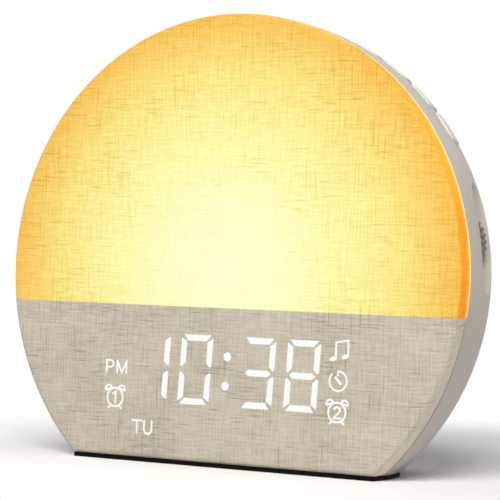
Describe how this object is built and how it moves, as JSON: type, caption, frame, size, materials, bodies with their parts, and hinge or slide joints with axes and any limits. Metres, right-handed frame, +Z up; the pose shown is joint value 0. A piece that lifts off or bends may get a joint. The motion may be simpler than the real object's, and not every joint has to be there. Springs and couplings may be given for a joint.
{
  "type": "sunrise alarm clock",
  "caption": "Round fabric-faced wake-up light with a flat foot, glowing lamp half above a digital clock, domed rear housing, shoulder keys and a thumbwheel.",
  "frame": {"origin": "on the table, below the middle of the overall box", "axes": "+Z up, the fabric face looks along -Y, +X to the right as seen from the front"},
  "size_m": [0.18, 0.072, 0.1578],
  "materials": {
    "linen_fabric": "woven linen look, matt",
    "milky_plastic": "translucent white, matt",
    "housing_plastic": "fine matt texture, warm grey",
    "key_plastic": "satin, slightly lighter than the housing",
    "door_plastic": "matt, warm grey",
    "pad_rubber": "matt black",
    "wheel_plastic": "dark bluish grey, matt",
    "frame_plastic": "black, keeps light apart",
    "white_plastic": "white, matt",
    "white_board": "white solder mask",
    "green_board": "green solder mask",
    "led_plastic": "yellow phosphor in white cups",
    "lens_plastic": "milky light guides",
    "tinted_film": "smoke tinted",
    "screw_steel": "zinc plated",
    "speaker_steel": "black, stamped",
    "speaker_paper": "black pressed paper",
    "speaker_rubber": "black, soft",
    "ferrite": "dark grey sintered ferrite",
    "plated_steel": "nickel plated",
    "chip_plastic": "black moulding compound",
    "capacitor_can": "plain can",
    "stem_plastic": "grey",
    "holder_plastic": "black"
  },
  "bodies": {
    "clock_body": {"base_pad": "pad_rubber", "capacitors": "capacitor_can", "cell_contact": "plated_steel", "cell_holder": "holder_plastic", "coin_cell": "plated_steel", "dc_jack": "chip_plastic", "diffuser_shell": "milky_plastic", "display_block": "white_plastic", "display_board": "green_board", "display_film": "tinted_film", "display_leds": "led_plastic", "display_screws": "screw_steel", "front_fabric": "linen_fabric", "housing_screws": "screw_steel", "key_board": "green_board", "key_board_screws": "screw_steel", "key_switches": "chip_plastic", "lamp_board": "white_board", "lamp_leds": "led_plastic", "lamp_screws": "screw_steel", "main_board": "green_board", "main_board_screws": "screw_steel", "main_chips": "chip_plastic", "mid_frame": "frame_plastic", "rear_housing": "housing_plastic", "reflector_tray": "white_plastic", "segment_lenses": "lens_plastic", "snooze_board": "green_board", "snooze_switch": "chip_plastic", "speaker_cone": "speaker_paper", "speaker_frame": "speaker_steel", "speaker_gasket": "speaker_rubber", "speaker_magnet": "ferrite", "speaker_screws": "screw_steel", "speaker_surround": "speaker_rubber", "speaker_yoke": "plated_steel", "wheel_board": "green_board", "wheel_board_screws": "screw_steel", "wheel_potentiometer": "chip_plastic"},
    "light_key": {"light_button": "key_plastic", "light_switch_stem": "stem_plastic"},
    "sound_key": {"sound_button": "key_plastic", "sound_switch_stem": "stem_plastic"},
    "timer_key": {"timer_button": "key_plastic", "timer_switch_stem": "stem_plastic"},
    "alarm_key": {"alarm_button": "key_plastic", "alarm_switch_stem": "stem_plastic"},
    "set_key": {"set_button": "key_plastic", "set_switch_stem": "stem_plastic"},
    "snooze_key": {"snooze_bar": "key_plastic", "snooze_switch_stem": "stem_plastic"},
    "wheel": {"brightness_wheel": "wheel_plastic", "wheel_shaft": "plated_steel"},
    "door": {"battery_door": "door_plastic"}
  },
  "joints": [
    {"name": "light_press", "type": "slide", "parent": "clock_body", "child": "light_key", "axis": [-0.585, 0, -0.8111], "range_m": [0, 0.0005], "stiffness_N_per_m": 800},
    {"name": "sound_press", "type": "slide", "parent": "clock_body", "child": "sound_key", "axis": [-0.585, 0, -0.8111], "range_m": [0, 0.0005], "stiffness_N_per_m": 800},
    {"name": "timer_press", "type": "slide", "parent": "clock_body", "child": "timer_key", "axis": [-0.585, 0, -0.8111], "range_m": [0, 0.0005], "stiffness_N_per_m": 800},
    {"name": "alarm_press", "type": "slide", "parent": "clock_body", "child": "alarm_key", "axis": [-0.585, 0, -0.8111], "range_m": [0, 0.0005], "stiffness_N_per_m": 800},
    {"name": "set_press", "type": "slide", "parent": "clock_body", "child": "set_key", "axis": [-0.585, 0, -0.8111], "range_m": [0, 0.0005], "stiffness_N_per_m": 800},
    {"name": "snooze_press", "type": "slide", "parent": "clock_body", "child": "snooze_key", "axis": [0, 0, -1], "range_m": [0, 0.0005], "stiffness_N_per_m": 800},
    {"name": "brightness_turn", "type": "hinge", "parent": "clock_body", "child": "wheel", "pos_m": [0.07348, -0.0085, 0.08023], "axis": [0, 1, 0], "range_deg": [-135, 135]},
    {"name": "door_turn", "type": "hinge", "parent": "clock_body", "child": "door", "pos_m": [-0.022, 0.006, 0.003], "axis": [0, 0, -1], "range_deg": [0, 60]}
  ]
}
